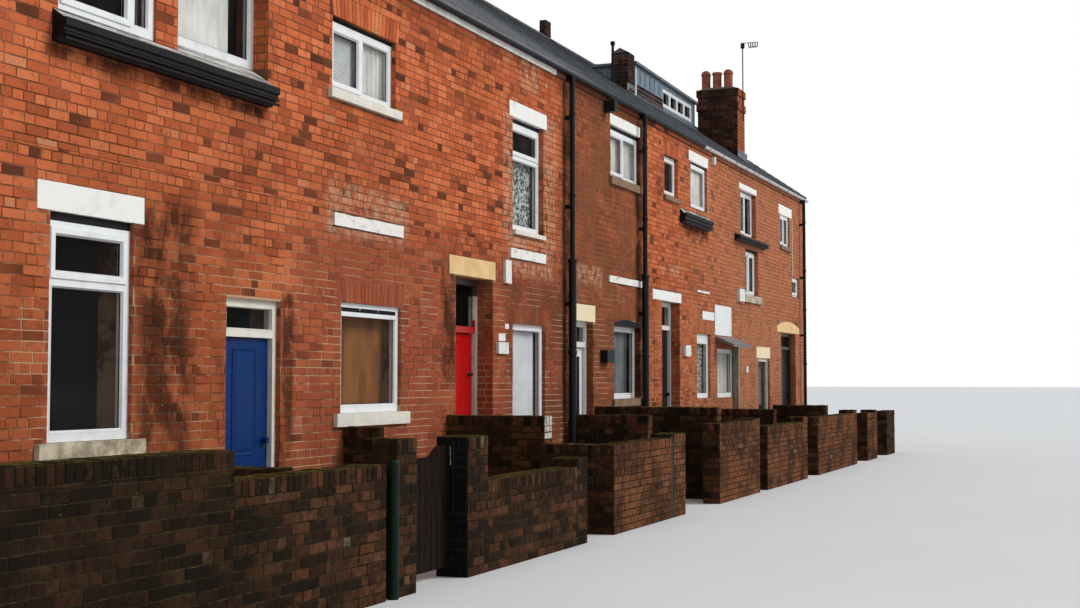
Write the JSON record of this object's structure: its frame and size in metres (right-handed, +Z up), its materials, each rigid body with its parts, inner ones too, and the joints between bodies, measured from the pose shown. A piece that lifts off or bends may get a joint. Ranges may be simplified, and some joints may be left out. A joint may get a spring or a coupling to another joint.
{
  "type": "terraced house row",
  "caption": "Row of two-storey brick terraced houses with slate roof, chimneys, a box dormer, hinged front doors and walled front yards with a boarded gate.",
  "frame": {"origin": "middle of the footprint of houses and yards, on the pavement", "axes": "+X along the row to the right as seen from the street, +Y from the street into the houses, +Z up"},
  "size_m": [28.59, 9.1598, 8.76],
  "materials": {
    "red_brick": "fired clay facing brick in dark lime mortar",
    "yard_brick": "weathered dark brick with moss",
    "sooty_brick": "sooted brick",
    "sandstone": "painted or bare sandstone",
    "white_masonry": "white masonry paint, weathered",
    "concrete": "trowelled concrete",
    "slate": "riven slate",
    "ridge_clay": "weathered clay",
    "terracotta": "unglazed clay",
    "timber": "sawn boards",
    "dark_timber": "dark stained boards",
    "blue_paint": "blue gloss paint",
    "red_paint": "red gloss paint",
    "black_door": "black gloss paint",
    "black_paint": "black paint, weathered",
    "white_plastic": "extruded plastic",
    "blue_cladding": "blue-grey sheet cladding",
    "black_pipe": "black paint",
    "galvanised": "galvanised",
    "steel": "dull steel",
    "glass": "clear",
    "curtain_cloth": "woven cloth"
  },
  "bodies": {
    "row": {"aerial": "galvanised", "attic_floor": "timber", "boxed_ledges": "black_paint", "canopy_board": "white_plastic", "chimney_pots": "terracotta", "chimney_stack": "sooty_brick", "door_hinges": "steel", "door_leaf_0": "dark_timber", "door_posts": "white_plastic", "door_rails": "white_plastic", "doorsteps": "sandstone", "doorway_heads": "red_brick", "dormer_frame": "white_plastic", "dormer_glass": "glass", "dormer_roof": "slate", "dormer_walls": "blue_cladding", "downpipes": "black_pipe", "end_walls": "red_brick", "fanlight_glass": "glass", "fascia_boards": "white_plastic", "front_wall_ground": "red_brick", "front_wall_upper": "red_brick", "garden_dividers": "yard_brick", "garden_piers": "yard_brick", "garden_posts": "dark_timber", "garden_walls": "yard_brick", "gate_hinges": "steel", "ground_floors": "concrete", "gutters": "black_pipe", "head_strips": "dark_timber", "lintels_painted": "white_masonry", "lintels_stone": "sandstone", "party_walls": "red_brick", "rear_wall": "red_brick", "ridge_tiles": "ridge_clay", "roof_front": "slate", "roof_rear": "slate", "small_stacks": "sooty_brick", "upper_floors": "timber", "vent_pipe": "black_pipe", "wall_boards": "white_plastic", "wall_boxes": "white_plastic", "wall_stubs": "white_masonry", "window_canopy": "slate", "window_frames_ground": "white_plastic", "window_frames_upper": "white_plastic", "window_glass_ground": "glass", "window_glass_upper": "glass", "window_sills": "sandstone"},
    "door_1": {"door_leaf_1": "blue_paint"},
    "door_2": {"door_leaf_2": "red_paint"},
    "door_3": {"door_leaf_3": "white_plastic"},
    "door_4": {"door_leaf_4": "white_plastic"},
    "door_5": {"door_leaf_5": "white_plastic"},
    "door_6": {"door_leaf_6": "black_door"},
    "gate": {"garden_gate": "dark_timber"}
  },
  "joints": [
    {"name": "door_1_hinge", "type": "hinge", "parent": "row", "child": "door_1", "pos_m": [-9.062, -2.418, 1], "axis": [0, 0, 1], "range_deg": [0, 88]},
    {"name": "door_2_hinge", "type": "hinge", "parent": "row", "child": "door_2", "pos_m": [-4.526, -2.263, 1], "axis": [0, 0, 1], "range_deg": [0, 88]},
    {"name": "door_3_hinge", "type": "hinge", "parent": "row", "child": "door_3", "pos_m": [-0.751, -2.363, 1], "axis": [0, 0, 1], "range_deg": [0, 88]},
    {"name": "door_4_hinge", "type": "hinge", "parent": "row", "child": "door_4", "pos_m": [3.272, -2.313, 1], "axis": [0, 0, 1], "range_deg": [0, 88]},
    {"name": "door_5_hinge", "type": "hinge", "parent": "row", "child": "door_5", "pos_m": [10.663, -2.413, 1], "axis": [0, 0, -1], "range_deg": [0, 88]},
    {"name": "door_6_hinge", "type": "hinge", "parent": "row", "child": "door_6", "pos_m": [11.851, -2.353, 1], "axis": [0, 0, 1], "range_deg": [0, 88]},
    {"name": "garden_gate_hinge", "type": "hinge", "parent": "row", "child": "gate", "pos_m": [-8.609, -4.303, 0.5], "axis": [0, 0, -1], "range_deg": [0, 90]}
  ]
}
